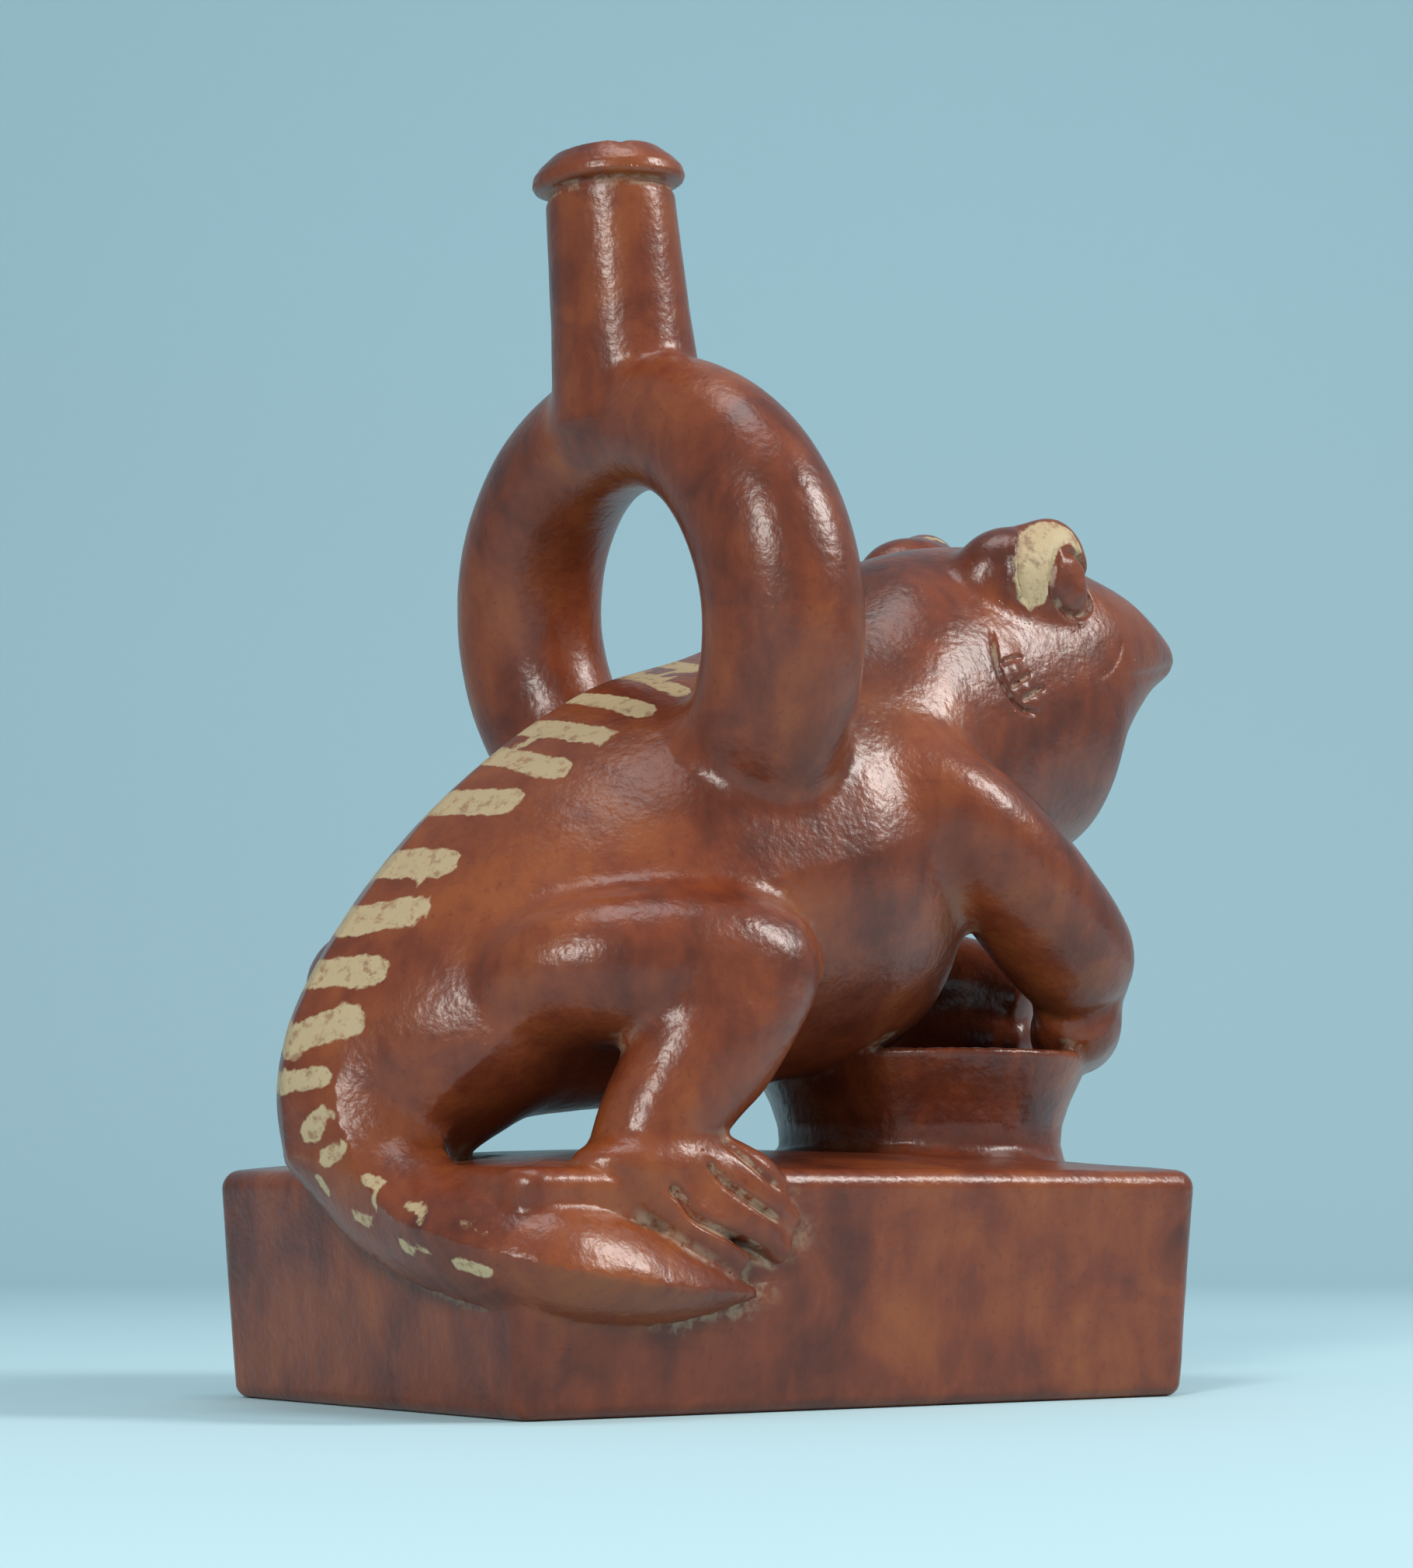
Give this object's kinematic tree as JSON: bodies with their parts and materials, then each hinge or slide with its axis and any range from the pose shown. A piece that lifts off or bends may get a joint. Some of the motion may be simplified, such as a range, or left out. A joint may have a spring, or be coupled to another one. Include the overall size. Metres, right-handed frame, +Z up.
{
  "type": "stirrup spout vessel",
  "caption": "Hollow red-slipped pottery bottle: a crouching lizard-like animal drinks from a bowl on a box base, with a stirrup handle and spout on its back.",
  "frame": {"origin": "middle of the flat underside of the box base, on the surface that the vessel stands on", "axes": "+X towards the animal's snout, +Y towards its left side, +Z up"},
  "size_m": [0.1977, 0.1125, 0.2238],
  "materials": {
    "red_slip": "burnished red-brown slip with worn cream-painted bars down the spine, satin"
  },
  "bodies": {
    "root": {"box_base": "red_slip", "bowl": "red_slip", "animal": "red_slip", "stirrup_spout": "red_slip"}
  },
  "joints": []
}
